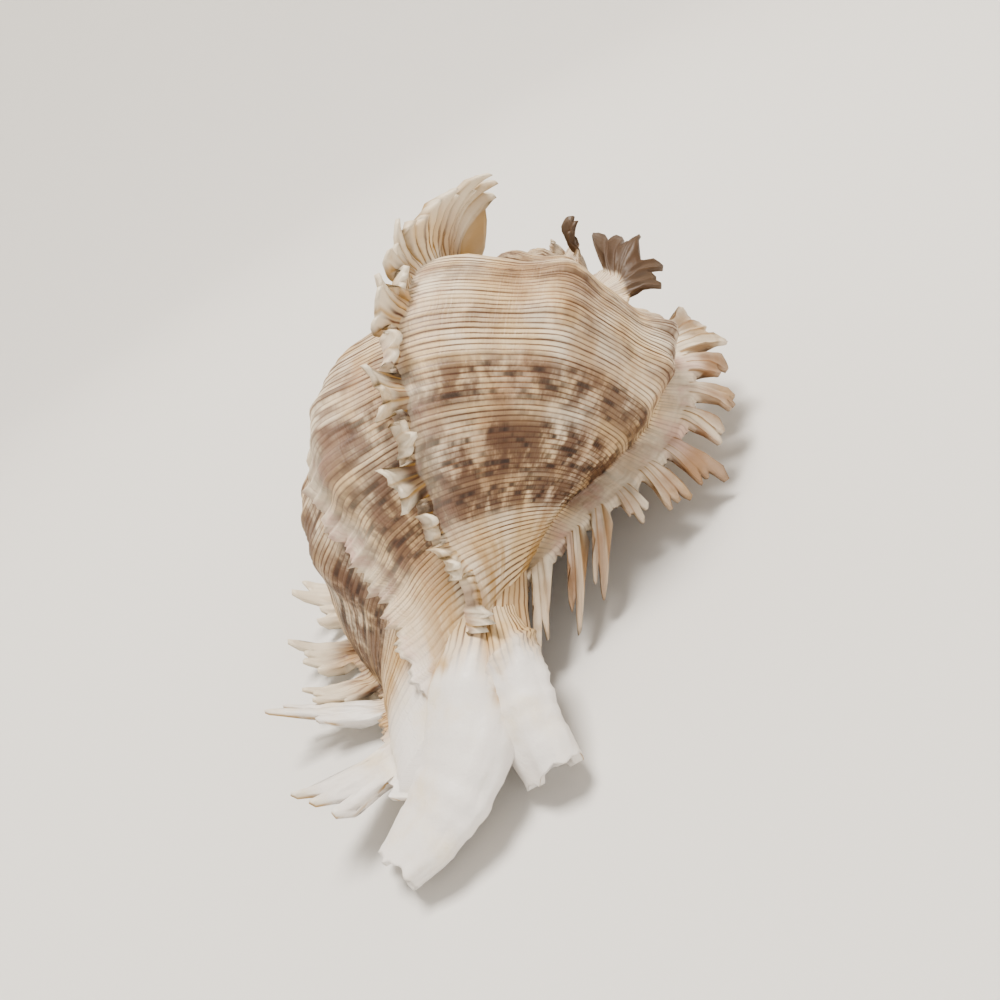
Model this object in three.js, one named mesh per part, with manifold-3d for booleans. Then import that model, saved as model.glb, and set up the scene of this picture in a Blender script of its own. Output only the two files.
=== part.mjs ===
// Ramose murex shell: one solid, grown as a spiral of segments that each end in a frilled ridge (a varix).
// Millimetres. While it is being grown, the shell stands on its axis: apex at the origin, canal towards -Z.
import * as THREE from "three";
import { mergeVertices } from "three/addons/utils/BufferGeometryUtils.js";
import Module from "manifold-3d";

// Growth. A place on the spiral is given in degrees behind the point where the last whorl would close.
const WHORL_GROWTH = 1.62; // size of one whorl over the one before it
const LIP = 13;
const FIRST_VARIX = 118; // the varix before the lip
const VARIX_STEP = 112; // and from each to the one before, about three to a whorl
const WHORLS = 4; // whorls from the tip of the spire to the lip

// Outline of the outer lip as [distance from the axis, distance below the apex]
const OUTLINE = [
  [34, 69], // suture, on the whorl before
  [43, 71],
  [51, 78], // shoulder
  [55.5, 89],
  [55.5, 103], // periphery
  [51, 118],
  [43, 131],
  [33, 142], // base
  [24, 152],
  [16, 163], // neck
  [6, 181],
];
const SPIRE_SHARE = 0.6; // share of the outline that an older whorl still shows
const COLUMN_RADIUS = 2.5; // inner edge of the whorl segments
const PILLAR = { topRadius: 2, footRadius: 7.5, top: 17, foot: 147 }; // what the whorls wind round

// Relief along the growth of one segment
const DIP = 5; // how far a new segment starts below the crest before it
const FLARES = [3, 4.5, 9, 8, 8]; // rise of a varix at its crest, from the lip back
const FLARE_START = 0.72;
const RIB_HEIGHT = 4.2; // knobbed ribs between two varices
const RIB_PLACES = [0.34, 0.66];
const RIB_WIDTH = 0.08;
const RIB_SHARE = 0.3; // where on the outline a rib is highest
const LIP_RIB_SHARE = 0.5; // and in the last segment
const RIB_SPREAD = 0.22;
const OVERLAP = 4; // degrees that a segment starts under the varix before it
const LIP_SWELL = 6; // the last segment is wider than steady growth makes it
const LIP_FLARE = 10; // and its lip spreads over the base

// Canals, as [x, y, depth below the apex, half width, half thickness]
const CANAL = [
  [0, 0, 112, 7, 7],
  [0, 0, 142, 12.5, 12],
  [0, 0, 160, 12, 10],
  [2, 0, 176, 11, 8],
  [6, 2, 188, 9, 6],
  [11, 6, 198, 6, 4],
];
const OLD_CANAL = [
  [-2, 1, 118, 7, 7],
  [-7, 2, 140, 10, 9],
  [-10, -1, 155, 8, 7.5],
  [-12, -7, 168, 6, 5.5],
  [-13, -14, 177, 5.5, 5],
];
const BORE = 0.6; // width of the open end of the old canal over its outside
const BORE_SHARE = 0.85; // where on the old canal its bore ends

// Mouth: the cavity inside the lip, as [distance from the axis, distance below the apex]
const MOUTH = [
  [37, 74],
  [44, 76],
  [49, 82],
  [52, 91],
  [53, 103],
  [51, 116],
  [44, 129],
  [34, 139],
  [23, 147],
  [12, 152],
  [8, 147],
  [8, 131],
  [9.5, 118],
  [12, 110],
  [16.5, 103],
  [22, 97],
  [28, 89],
  [33, 81],
];
const MOUTH_CENTRE = [32, 111];
const MOUTH_DEPTH = 105; // degrees from the lip to the end of the cavity
const SLIT_WIDTH = 4.5; // of the narrow opening along the canal
const SLIT_SHARE = 0.35; // where on the canal it starts

// Fronds. varix: counted from the lip back; share: place on the outline; lean: towards the canal;
// back: degrees bent away from growth at the root; curl: degrees more at the tip
const FRONDS = [
  { varix: 0, share: 0.2, length: 24, width: 16, lean: -0.3, back: 10, curl: 60, fingers: 4 },
  { varix: 0, share: 0.3, length: 9, width: 9, lean: 0, back: 30, curl: 30, fingers: 3 },
  { varix: 0, share: 0.38, length: 11, width: 9, lean: 0, back: 30, curl: 30, fingers: 3 },
  { varix: 0, share: 0.47, length: 18, width: 14, lean: 0.1, back: 40, curl: 40, fingers: 4 },
  { varix: 0, share: 0.57, length: 20, width: 15, lean: 0.1, back: 40, curl: 40, fingers: 4 },
  { varix: 0, share: 0.67, length: 20, width: 14, lean: 0.15, back: 35, curl: 40, fingers: 4 },
  { varix: 0, share: 0.8, length: 32, width: 14, lean: -0.1, back: 35, curl: 20, fingers: 4 },
  { varix: 0, share: 0.94, length: 26, width: 13, lean: 0.2, back: 45, curl: 30, fingers: 4 },
  { varix: 1, share: 0.17, length: 26, width: 22, lean: -0.3, back: 0, curl: 60, fingers: 4 },
  { varix: 1, share: 0.3, length: 5, width: 10, lean: 0, back: 0, curl: 40, fingers: 3 },
  { varix: 1, share: 0.38, length: 4, width: 10, lean: 0, back: 0, curl: 40, fingers: 3 },
  { varix: 1, share: 0.47, length: 4, width: 10, lean: 0, back: 0, curl: 40, fingers: 3 },
  { varix: 1, share: 0.7, length: 4, width: 9, lean: 0, back: 0, curl: 40, fingers: 3 },
  { varix: 1, share: 0.84, length: 5, width: 9, lean: 0.2, back: 0, curl: 40, fingers: 3 },
  { varix: 2, share: 0.19, length: 15, width: 12, lean: -0.2, back: 5, curl: 40, fingers: 4 },
  { varix: 2, share: 0.28, length: 11, width: 8, lean: 0, back: 5, curl: 50, fingers: 3 },
  { varix: 2, share: 0.36, length: 11, width: 8, lean: 0, back: 5, curl: 50, fingers: 3 },
  { varix: 2, share: 0.44, length: 10, width: 8, lean: 0.1, back: 5, curl: 50, fingers: 3 },
  { varix: 2, share: 0.52, length: 12, width: 9, lean: 0.1, back: 5, curl: 40, fingers: 4 },
  { varix: 2, share: 0.6, length: 12, width: 9, lean: 0.1, back: 5, curl: 40, fingers: 4 },
  { varix: 2, share: 0.68, length: 7, width: 8, lean: 0.1, back: 0, curl: 40, fingers: 3 },
  { varix: 2, share: 0.77, length: 15, width: 8, lean: 0.8, back: 0, curl: 50, fingers: 2 },
  { varix: 2, share: 0.86, length: 15, width: 8, lean: 1, back: 0, curl: 50, fingers: 2 },
  { varix: 2, share: 0.95, length: 12, width: 7, lean: 1.2, back: 0, curl: 40, fingers: 2 },
  { varix: 3, share: 0.2, length: 14, width: 8, lean: -0.5, back: 0, curl: 60, fingers: 3 },
  { varix: 3, share: 0.3, length: 9, width: 8, lean: 0, back: 0, curl: 60, fingers: 3 },
  { varix: 4, share: 0.2, length: 8, width: 8, lean: -0.5, back: 0, curl: 40, fingers: 3 },
  { varix: 5, share: 0.2, length: 13, width: 9, lean: -0.6, back: 0, curl: 50, fingers: 4 },
  { varix: 5, share: 0.3, length: 9, width: 7, lean: 0, back: 0, curl: 60, fingers: 3 },
  { varix: 6, share: 0.2, length: 11, width: 6, lean: -0.8, back: 0, curl: 50, fingers: 3 },
];
const FROND_ROOT = 5; // how deep a frond starts inside the varix
const FROND_ROOT_THICKNESS = 0.3; // over the frond's width
const FROND_TIP_THICKNESS = 1.1;
const FINGER_DEPTH = 0.34; // depth of the notch between two fingers over the frond's length
const FROND_FOLD = 0.35; // how far the side edges fold towards growth, over the frond's width
const FAN = 0.35; // how much the fingers spread

// How the shell lies: the side of the spiral that is up, and how far the spire rises
const UP_SIDE = 120.4;
const SPIRE_RISE = 13.9;
const WORN = 1; // what is worn flat where it touches the ground

const { degToRad: radians, smoothstep, lerp } = THREE.MathUtils;
const outline = new THREE.SplineCurve(OUTLINE.map(([r, d]) => new THREE.Vector2(r, d)));
const growth = (behind) => WHORL_GROWTH ** (-behind / 360);
const bell = (x, width) => Math.exp(-((x / width) ** 2));

function cylindrical(radius, behind, depth, size = 1) {
  const angle = radians(behind);
  return new THREE.Vector3(radius * Math.cos(angle), radius * Math.sin(angle), -depth).multiplyScalar(size);
}

// Direction that points out of the outline at a share, in the half plane of the axis
function outwards(share) {
  const along = outline.getTangent(share);
  return new THREE.Vector2(along.y, -along.x);
}

const crestOf = (varix) => (varix === 0 ? LIP : FIRST_VARIX + (varix - 1) * VARIX_STEP);

// A point on the outer skin. behind: place on the spiral; share: 0 at the suture, 1 at the neck;
// varix: the one that ends the segment, counted from the lip back.
function skin(behind, share, varix) {
  const start = crestOf(varix + 1);
  const grown = (start - behind) / (start - crestOf(varix));
  const ribs = RIB_PLACES.reduce((sum, place) => sum + bell(grown - place, RIB_WIDTH), 0);
  const knob = bell(share - (varix === 0 ? LIP_RIB_SHARE : RIB_SHARE), RIB_SPREAD);
  const side = smoothstep(share, 0, 0.12) * (1 - 0.6 * smoothstep(share, 0.8, 1));
  const flare = FLARES[Math.min(varix, FLARES.length - 1)] * smoothstep(grown, FLARE_START, 1);
  const dip = DIP * (1 - grown) ** 2 * (1 - smoothstep(share, 0.85, 1));
  let relief = flare * side - dip + RIB_HEIGHT * ribs * knob;
  if (varix === 0) {
    relief += LIP_SWELL * smoothstep(grown, 0, 0.35) * bell(share - LIP_RIB_SHARE, RIB_SPREAD);
    relief += LIP_FLARE * smoothstep(grown, 0.45, 1) * smoothstep(share, 0.2, 0.6);
  }
  const point = outline.getPoint(share).addScaledVector(outwards(share), relief);
  return cylindrical(point.x, behind, point.y, growth(behind));
}

// A closed geometry through rings of points that all have the same count
function loft(rings, capTriangles = flatTriangles) {
  const count = rings[0].length;
  const positions = [];
  for (let i = 0; i + 1 < rings.length; i++)
    for (let j = 0; j < count; j++) {
      const next = (j + 1) % count;
      const [a, b, c, d] = [rings[i][j], rings[i + 1][j], rings[i + 1][next], rings[i][next]];
      positions.push(a, b, c, a, c, d);
    }
  const first = rings[0];
  const last = rings[rings.length - 1];
  for (const [a, b, c] of capTriangles(first)) positions.push(first[a], first[b], first[c]);
  for (const [a, b, c] of capTriangles(last)) positions.push(last[a], last[c], last[b]);
  return new THREE.BufferGeometry().setFromPoints(positions);
}

// Triangles of a flat ring, worked out in its own plane
function flatTriangles(ring) {
  const normal = new THREE.Vector3();
  ring.forEach((p, i) => normal.add(new THREE.Vector3().crossVectors(p, ring[(i + 1) % ring.length])));
  const turn = new THREE.Quaternion().setFromUnitVectors(normal.normalize(), new THREE.Vector3(0, 0, 1));
  const flat = ring.map((p) => {
    const q = p.clone().applyQuaternion(turn);
    return new THREE.Vector2(q.x, q.y);
  });
  return THREE.ShapeUtils.triangulateShape(flat, []);
}

// Triangles of a ring that runs out along one face of a sheet and back along the other
function sheetTriangles(ring) {
  const triangles = [];
  for (let j = 0; j + 1 < ring.length / 2; j++) {
    const across = ring.length - 1 - j;
    triangles.push([j, j + 1, across - 1], [j, across - 1, across]);
  }
  return triangles;
}

const wasm = await Module();
wasm.setup();

function solid(geometry) {
  const merged = mergeVertices(geometry, 1e-4);
  return new wasm.Manifold(
    new wasm.Mesh({
      numProp: 3,
      vertProperties: merged.attributes.position.array,
      triVerts: new Uint32Array(merged.index.array),
    }),
  );
}

// One growth segment: from under the varix before it, up to its own
function segment(varix, turns, points, shares) {
  const crest = crestOf(varix);
  const start = crestOf(varix + 1) + OVERLAP;
  const rings = [];
  for (let i = 0; i <= turns; i++) {
    const behind = lerp(start, crest, i / turns);
    const size = growth(behind);
    const ring = [];
    for (let j = 0; j <= points; j++) ring.push(skin(behind, (shares * j) / points, varix));
    ring.push(cylindrical(COLUMN_RADIUS, behind, outline.getPoint(shares).y, size));
    ring.push(cylindrical(COLUMN_RADIUS, behind, outline.getPoint(0).y, size));
    rings.push(ring);
  }
  return solid(loft(rings));
}

// A bent bar through [x, y, depth, half width, half thickness] stations, between two shares of its length.
// section: its points for a half width and a half thickness. Past its last station it runs straight on.
function bar(stations, section, from = 0, to = 1, steps = 9) {
  const route = new THREE.CatmullRomCurve3(stations.map(([x, y, depth]) => new THREE.Vector3(x, y, -depth)));
  const halves = new THREE.SplineCurve(stations.map((station) => new THREE.Vector2(station[3], station[4])));
  const rings = [];
  for (let i = 0; i <= steps; i++) {
    const share = lerp(from, to, i / steps);
    const at = Math.min(share, 1);
    const along = route.getTangent(at);
    const centre = route.getPoint(at).addScaledVector(along, (share - at) * route.getLength());
    const wide = new THREE.Vector3(0, 1, 0).cross(along).normalize();
    const thick = new THREE.Vector3().crossVectors(wide, along);
    const points = section(halves.getPoint(at));
    rings.push(points.map(([w, t]) => centre.clone().addScaledVector(wide, w).addScaledVector(thick, t)));
  }
  return loft(rings);
}

function oval(half, sides = 12) {
  const points = [];
  for (let j = 0; j < sides; j++) {
    const angle = (2 * Math.PI * j) / sides;
    points.push([half.x * Math.cos(angle), half.y * Math.sin(angle)]);
  }
  return points;
}

const bore = (half) => oval(half.clone().multiplyScalar(BORE), 8);

// The canal's slit, on the side that the mouth opens to
function slit(half) {
  const wide = SLIT_WIDTH / 2;
  const open = 2 * half.y;
  return [
    [wide, 0],
    [wide, open],
    [-wide, open],
    [-wide, 0],
  ];
}

// A frond: a folded fan of fingers that rises from a varix and bends back, away from growth
function frond({ varix, share, length, width, lean, back, curl, fingers }) {
  const rows = 3;
  const crest = crestOf(varix);
  const columns = 2 * fingers - 1;
  const base = skin(crest, share, varix);
  const normal = outwards(share);
  const out = cylindrical(normal.x, crest, normal.y);
  const down = cylindrical(-normal.y, crest, normal.x);
  const backward = cylindrical(1, crest + 90, 0);
  const rings = [];
  for (let row = 0; row <= rows; row++) {
    const front = [];
    const rear = [];
    for (let column = 0; column < columns; column++) {
      const across = column / (columns - 1) - 0.5;
      const reach = (1 - FINGER_DEPTH * (column % 2)) * (1 - 0.35 * (across + 0.5));
      const travel = lerp(-FROND_ROOT, length * reach, row / rows);
      const part = Math.max(travel, 0) / length;
      const bend = radians(back + curl * part * 0.5);
      const point = base.clone();
      point.addScaledVector(out, travel * Math.cos(bend));
      const fold = width * FROND_FOLD * (2 * across) ** 2 * part;
      point.addScaledVector(backward, travel * Math.sin(bend) - fold);
      point.addScaledVector(down, travel * lean + width * across * (0.7 + FAN * part));
      const half = lerp(FROND_ROOT_THICKNESS * width, FROND_TIP_THICKNESS, part) / 2;
      const face = backward.clone().multiplyScalar(Math.cos(bend)).addScaledVector(out, -Math.sin(bend));
      front.push(point.clone().addScaledVector(face, half));
      rear.unshift(point.clone().addScaledVector(face, -half));
    }
    rings.push([...front, ...rear]);
  }
  return loft(rings, sheetTriangles);
}

// The cavity behind the lip, smaller and smaller as it winds in
function mouth() {
  const turns = 8;
  const past = 8;
  const endShare = 0.3;
  const centre = new THREE.Vector2(...MOUTH_CENTRE);
  const rings = [];
  for (let i = 0; i <= turns; i++) {
    const inside = lerp(MOUTH_DEPTH, -past, i / turns);
    const size = growth(LIP + inside);
    const shrink = lerp(1, endShare, smoothstep(inside, past, MOUTH_DEPTH));
    const ring = MOUTH.map(([r, d]) => {
      const point = new THREE.Vector2(r, d).sub(centre).multiplyScalar(shrink).add(centre);
      return cylindrical(point.x, LIP + inside, point.y, size);
    });
    rings.push(ring);
  }
  return loft(rings);
}

function bare(geometry) {
  geometry.deleteAttribute("normal");
  geometry.deleteAttribute("uv");
  return geometry;
}

function pillar() {
  const { topRadius, footRadius, top, foot } = PILLAR;
  const geometry = new THREE.CylinderGeometry(topRadius, footRadius, foot - top, 10);
  return bare(geometry.rotateX(Math.PI / 2).translate(0, 0, -(top + foot) / 2));
}

let shellSolid = segment(0, 12, 16, 1).add(solid(pillar()));
for (const varix of [1, 2]) shellSolid = shellSolid.add(segment(varix, 12, 16, 1));
shellSolid = shellSolid.add(segment(3, 9, 12, 1));
for (let varix = 4; crestOf(varix) < 360 * WHORLS; varix++) {
  shellSolid = shellSolid.add(segment(varix, 7, 6, SPIRE_SHARE));
}
shellSolid = shellSolid.add(solid(bar(OLD_CANAL, oval))).add(solid(bar(CANAL, oval)));
for (const each of FRONDS) shellSolid = shellSolid.add(solid(frond(each)));
shellSolid = shellSolid.subtract(solid(mouth())).subtract(solid(bar(CANAL, slit, SLIT_SHARE, 1.02)));
shellSolid = shellSolid.subtract(solid(bar(OLD_CANAL, bore, BORE_SHARE, 1.02, 2)));

function geometryOf(made) {
  const mesh = made.getMesh();
  return new THREE.BufferGeometry()
    .setAttribute("position", new THREE.BufferAttribute(mesh.vertProperties, 3))
    .setIndex(new THREE.BufferAttribute(mesh.triVerts, 1));
}

// Lay the shell down, canal towards -Y, with the origin under the middle of its box.
// Its lowest points are worn flat.
const lying = geometryOf(shellSolid).rotateZ(radians(-UP_SIDE - 90)).rotateX(radians(SPIRE_RISE - 90));
lying.computeBoundingBox();
const middle = lying.boundingBox.getCenter(new THREE.Vector3());
lying.translate(-middle.x, -middle.y, -lying.boundingBox.min.z - WORN);
const ground = bare(new THREE.BoxGeometry(400, 400, 10).translate(0, 0, -5));

const shell = new THREE.Mesh(
  geometryOf(solid(lying).subtract(solid(ground))),
  new THREE.MeshStandardMaterial({ color: 0xd8c4a4, roughness: 0.6, metalness: 0 }),
);
shell.name = "shell";
const part = new THREE.Group();
part.add(shell);
export default part;
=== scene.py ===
# %% [markdown]
# # A frilled murex shell
# The shell is one piece of lime that a snail built by growing at an edge. Every new strip is a
# little larger than the last and a little further round, and about three times in each turn the
# edge stopped and grew a crest of hollow fronds. This lesson builds it the same way: one ring of
# points is extruded step by step along the growth law, and what the edge did is its shape.

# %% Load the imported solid
import math

import bmesh
import bpy
import numpy as np
from mathutils import Matrix, Vector


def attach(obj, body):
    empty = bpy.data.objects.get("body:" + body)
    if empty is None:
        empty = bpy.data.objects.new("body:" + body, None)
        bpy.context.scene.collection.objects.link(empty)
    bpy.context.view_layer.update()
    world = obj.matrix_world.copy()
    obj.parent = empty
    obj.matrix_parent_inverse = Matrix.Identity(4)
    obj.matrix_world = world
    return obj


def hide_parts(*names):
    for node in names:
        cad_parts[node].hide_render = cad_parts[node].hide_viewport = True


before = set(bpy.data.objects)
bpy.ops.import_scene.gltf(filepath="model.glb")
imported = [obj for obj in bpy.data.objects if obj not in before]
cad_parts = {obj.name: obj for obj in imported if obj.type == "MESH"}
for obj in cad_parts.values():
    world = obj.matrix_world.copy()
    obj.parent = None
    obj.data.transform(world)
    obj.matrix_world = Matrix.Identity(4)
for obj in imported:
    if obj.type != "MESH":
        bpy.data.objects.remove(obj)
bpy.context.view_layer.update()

# %% [markdown]
# ## The growth law
# A snail's shell is a logarithmic spiral. `behind` is how many degrees ago a strip was grown,
# counted back from the mouth, and a whole turn back everything is smaller by the same factor.
# Lengths here are in millimetres with the apex at the origin and the canal down the axis. Nearly
# the same numbers made the solid, so the finished mesh lies on it without any fitting.

# %% Growth, crests and the side outline
WHORL_GROWTH = 1.62
LIP = 13
FIRST_VARIX = 118
VARIX_STEP = 112
OUTLINE = np.array([[34, 69], [43, 71], [51, 78], [55.5, 89], [55.5, 103], [51, 118], [43, 131],
                    [33, 142], [24, 152], [16, 163], [6, 181]], float)


def growth(behind):
    return WHORL_GROWTH ** (-behind / 360)


def crest_of(varix):
    return LIP if varix == 0 else FIRST_VARIX + (varix - 1) * VARIX_STEP


def smooth(value, low, high):
    share = np.clip((value - low) / (high - low), 0, 1)
    return share * share * (3 - 2 * share)


def bell(value, width):
    return np.exp(-(value / width) ** 2)


def wobble(place, seed):
    """A soft, repeatable wander between about -1 and 1."""
    return (np.sin(place + seed * 1.7) + 0.6 * np.sin(place * 2.3 + seed * 4.1)
            + 0.35 * np.sin(place * 5.1 + seed * 2.9)) / 1.95


def spline(points, place):
    """A curve through the points, with place running from 0 to 1."""
    step = np.clip(place, 0, 1) * (len(points) - 1)
    low = np.minimum(step.astype(int), len(points) - 2)
    t = (step - low)[:, None]
    before = points[np.maximum(low - 1, 0)]
    first = points[low]
    second = points[low + 1]
    after = points[np.minimum(low + 2, len(points) - 1)]
    leave = (second - before) / 2
    arrive = (after - first) / 2
    return ((2 * first - 2 * second + leave + arrive) * t ** 3
            + (3 * second - 3 * first - 2 * leave - arrive) * t ** 2 + leave * t + first)


def outline(share):
    return spline(OUTLINE, share)


def outwards(share):
    along = outline(np.minimum(share + 0.002, 1)) - outline(np.maximum(share - 0.002, 0))
    along /= np.linalg.norm(along, axis=1)[:, None]
    return np.stack([along[:, 1], -along[:, 0]], axis=1)


def around(radius, behind, depth):
    """Points in the shell's own frame from radius, degrees behind the mouth and depth."""
    turn = np.radians(behind)
    return np.stack([radius * np.cos(turn), radius * np.sin(turn), -depth + 0 * radius], axis=1)


print("size one turn back:", round(float(growth(360)), 3))

# %% [markdown]
# ## Cords, ribs and the scar
# Between two crests the surface carries fine spiral cords, two low knobbly ribs, and growth
# lines across them. They could be bump in the material, but cords show on the outline of every
# rib and frond, so they are real relief: each cord has three columns of points. The last stretch
# also has a crinkled scar where growth paused, and beyond it the surface drops to the lip.

# %% The relief of the skin
CORDS = 98
COLUMNS_PER_CORD = 3
CORD_HEIGHT = 0.5
DIP = 5
FLARES = [3, 5, 6.5, 8, 8]
FLARE_START = 0.72
RIB_HEIGHT = 4.2
RIB_PLACES = [[0.34, 0.66], [0.2, 0.6], [0.34, 0.66], [0.34, 0.66], [0.34, 0.66]]
RIB_WIDTH = 0.08
RIB_SHARE = 0.3
LIP_RIB_SHARE = 0.5
RIB_SPREAD = 0.22
LIP_SWELL = 6
LIP_FLARE = 10
RIB_WEIGHTS = [[1, 1], [1.9, 0.9], [1, 0.8], [1, 1], [1, 1]]
LINE_HEIGHT = 0.1
LUMP_HEIGHT = 0.5
SCAR_HEIGHT = 7
SCAR_PLACE = 70
SCAR_BEND = 13
SCAR_CRINKLE = 1.6
SCAR_STEEP = 2.4
SCAR_SLOPE = 6
NECK_SHARE = 0.76
NECK_TURNS = [18, 34, 10, 0, 0]
CREST_WANDER = 2


def cords(share):
    phase = share * CORDS
    number = np.floor(phase)
    middle = phase - number - 0.5
    tall = 0.75 + 0.35 * np.sin(number * 2.4) + 0.25 * np.sin(number * 0.9 + 1)
    return np.clip(tall, 0.4, 1.4) * (1 - (2 * np.abs(middle)) ** 2.5)


def scar_place(share):
    """Where the crinkled scar runs on the last stretch, in degrees behind the mouth."""
    return SCAR_PLACE - SCAR_BEND * smooth(share, 0.5, 0.95) + SCAR_CRINKLE * wobble(share * 60, 3)


def scar(behind, share):
    """How near the scar's sharp edge is: steep on the mouth's side, sloping behind."""
    past = scar_place(share) - behind
    edge = np.exp(-np.abs(past) / np.where(past > 0, SCAR_STEEP, SCAR_SLOPE))
    return edge * smooth(share, 0.42, 0.56) * (1 - smooth(share, 0.93, 0.99))


def neck_turn(grown, share, varix):
    """Crests lean back round the neck, so lines near one are turned with it."""
    here = NECK_TURNS[min(varix, 4)] * grown ** 2
    before = NECK_TURNS[min(varix + 1, 4)] * (1 - grown) ** 2
    wander_here = grown ** 10 * wobble(share * 33, varix)
    wander_before = (1 - grown) ** 10 * wobble(share * 33, varix + 1)
    wander = CREST_WANDER * (wander_here + wander_before)
    return (here + before) * smooth(share, NECK_SHARE, 1) + wander


def ribs(grown, share, varix):
    """The two knobbly ribs of a stretch, 1 at the top of a full one."""
    kind = min(varix, 4)
    rows = sum(weight * bell(grown - place, RIB_WIDTH)
               for weight, place in zip(RIB_WEIGHTS[kind], RIB_PLACES[kind]))
    knob = bell(share - (LIP_RIB_SHARE if varix == 0 else RIB_SHARE), RIB_SPREAD)
    return rows * knob * (1 + 0.28 * wobble(share * 45, varix))


def skin(behind, share, varix):
    """One line of the outer surface, with its relief, from the suture to the neck."""
    start = crest_of(varix + 1)
    grown = (start - behind) / (start - crest_of(varix))
    side = smooth(share, 0, 0.12) * (1 - 0.6 * smooth(share, 0.8, 1))
    relief = FLARES[min(varix, 4)] * smooth(grown, FLARE_START, 1) * side
    relief = relief - DIP * (1 - grown) ** 2 * (1 - smooth(share, 0.85, 1))
    relief = relief + RIB_HEIGHT * ribs(grown, share, varix)
    if varix == 0:
        relief = relief + LIP_SWELL * smooth(grown, 0, 0.35) * bell(share - LIP_RIB_SHARE, RIB_SPREAD)
        relief = relief + LIP_FLARE * smooth(grown, 0.45, 1) * smooth(share, 0.2, 0.6)
        relief = relief + SCAR_HEIGHT * scar(behind, share) * (0.8 + 0.35 * wobble(share * 90, 5))
    lines = LINE_HEIGHT * np.sin(behind * 1.9 + 3 * wobble(share * 20, 1)) * wobble(behind * 0.35, 2)
    relief = relief + CORD_HEIGHT * cords(share) * smooth(share, 0, 0.03) + lines
    relief = relief + LUMP_HEIGHT * wobble(share * 16 + behind * 0.05, 8) * wobble(behind * 0.11, 9)
    point = outline(share) + outwards(share) * np.reshape(relief, (-1, 1))
    return around(point[:, 0], behind + neck_turn(grown, share, varix), point[:, 1]) * growth(behind)


print("cords from suture to neck:", CORDS)

# %% [markdown]
# ## The frilled crests
# At a crest the growing edge turned outwards and split into fronds: fluted leaves with pointed
# fingers, folded like gutters that open towards the mouth. Each frond could be a piece of its own
# stuck on, but then its cords would not run on from the whorl. Here the ring itself is extruded
# out along the back of the fronds and in again along their fronts, each point by its own length.

# %% Where the fronds stand
# Each frond is share, length, width, lean, tilt back, curl, fingers, how much shorter its far side
# is, and how it fans. Lengths and widths are millimetres, angles are degrees.
FRONDS = {
    0: [(0.2, 24, 16, -0.3, 10, 60, 5, 0.4, 0.5), (0.3, 9, 9, 0, 30, 30, 3, 0.3, 0.6),
        (0.38, 12, 9, 0, 30, 30, 3, 0.3, 0.6), (0.47, 25, 15, 0, 32, 40, 4, 0.5, 0.6),
        (0.57, 24, 16, 0.1, 38, 40, 4, 0.5, 0.6), (0.67, 23, 15, 0.15, 35, 40, 4, 0.5, 0.6),
        (0.79, 35, 15, -0.35, 35, 20, 3, 0.45, 0.6), (0.95, 24, 14, 0.55, 45, 30, 3, 0.4, 0.6)],
    1: [(0.165, 29, 30, -0.05, -6, 125, 9, 0.7, -0.5), (0.275, 12, 11, 0.1, -22, 60, 3, 0.4, 0.6),
        (0.345, 6, 9, 0, 12, 60, 3, 0.3, 0.6), (0.405, 11, 12, 0, -24, 60, 3, 0.4, 0.7),
        (0.475, 6, 9, 0.1, 14, 60, 2, 0.3, 0.6), (0.545, 13, 12, 0.1, -20, 60, 3, 0.4, 0.7),
        (0.62, 7, 9, 0, 12, 60, 3, 0.3, 0.6), (0.69, 14, 13, 0.2, -16, 60, 3, 0.4, 0.7),
        (0.78, 7, 9, 0.2, 10, 60, 2, 0.3, 0.5), (0.86, 12, 11, 0.2, 4, 60, 3, 0.4, 0.5),
        (0.945, 9, 8, 0.3, 24, 60, 3, 0.35, 0.4)],
    2: [(0.19, 21, 14, -0.2, 5, 40, 4, 0.35, 0.6), (0.28, 14, 7.5, 0, 5, 50, 2, 0.3, 0.5),
        (0.36, 15, 7.5, 0, 5, 50, 3, 0.3, 0.5), (0.44, 13, 7.5, 0.1, 5, 50, 2, 0.3, 0.5),
        (0.52, 16, 8, 0.1, 5, 40, 3, 0.3, 0.5), (0.6, 14, 8, 0.1, 5, 40, 3, 0.3, 0.5),
        (0.68, 9, 8, 0.1, 0, 40, 3, 0.3, 0.5), (0.77, 17, 8, 0.9, 0, 50, 2, 0.3, 0.5),
        (0.86, 18, 8, 1.1, 0, 50, 2, 0.3, 0.5), (0.95, 15, 8, 1.3, 0, 40, 2, 0.3, 0.5)],
    3: [(0.2, 20, 12, -0.6, 0, 60, 4, 0.35, 0.5), (0.3, 11, 9, 0, 0, 60, 3, 0.3, 0.5)],
    4: [(0.2, 15, 11, -0.9, 0, 60, 3, 0.4, 0.1), (0.3, 10, 8, -0.3, 0, 60, 3, 0.3, 0.5)],
    5: [(0.19, 15, 12, -1, -20, 50, 4, 0.3, 0.4), (0.3, 13, 9, -0.2, 0, 60, 3, 0.3, 0.5)],
    6: [(0.2, 15, 9, -0.9, 0, 50, 3, 0.3, 0.5)],
    8: [(0.25, 10, 7, -0.2, -68, 70, 3, 0.3, 0.1)],
}
ROOT = 0.56
FINGER_DEPTH = 0.42
BLUNT = 2.6
FOLD = 0.35
TIP_THICKNESS = 1.6
ROOT_THICKNESS = [3, 5, 4, 3]
COLLARS = [2.2, 3.4, 1.6, 1.8]
COLLAR_TILT = 12
COLLAR_CURL = 25
FLUTE_DEPTH = 0.045
CRUMPLE = 0.35


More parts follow.
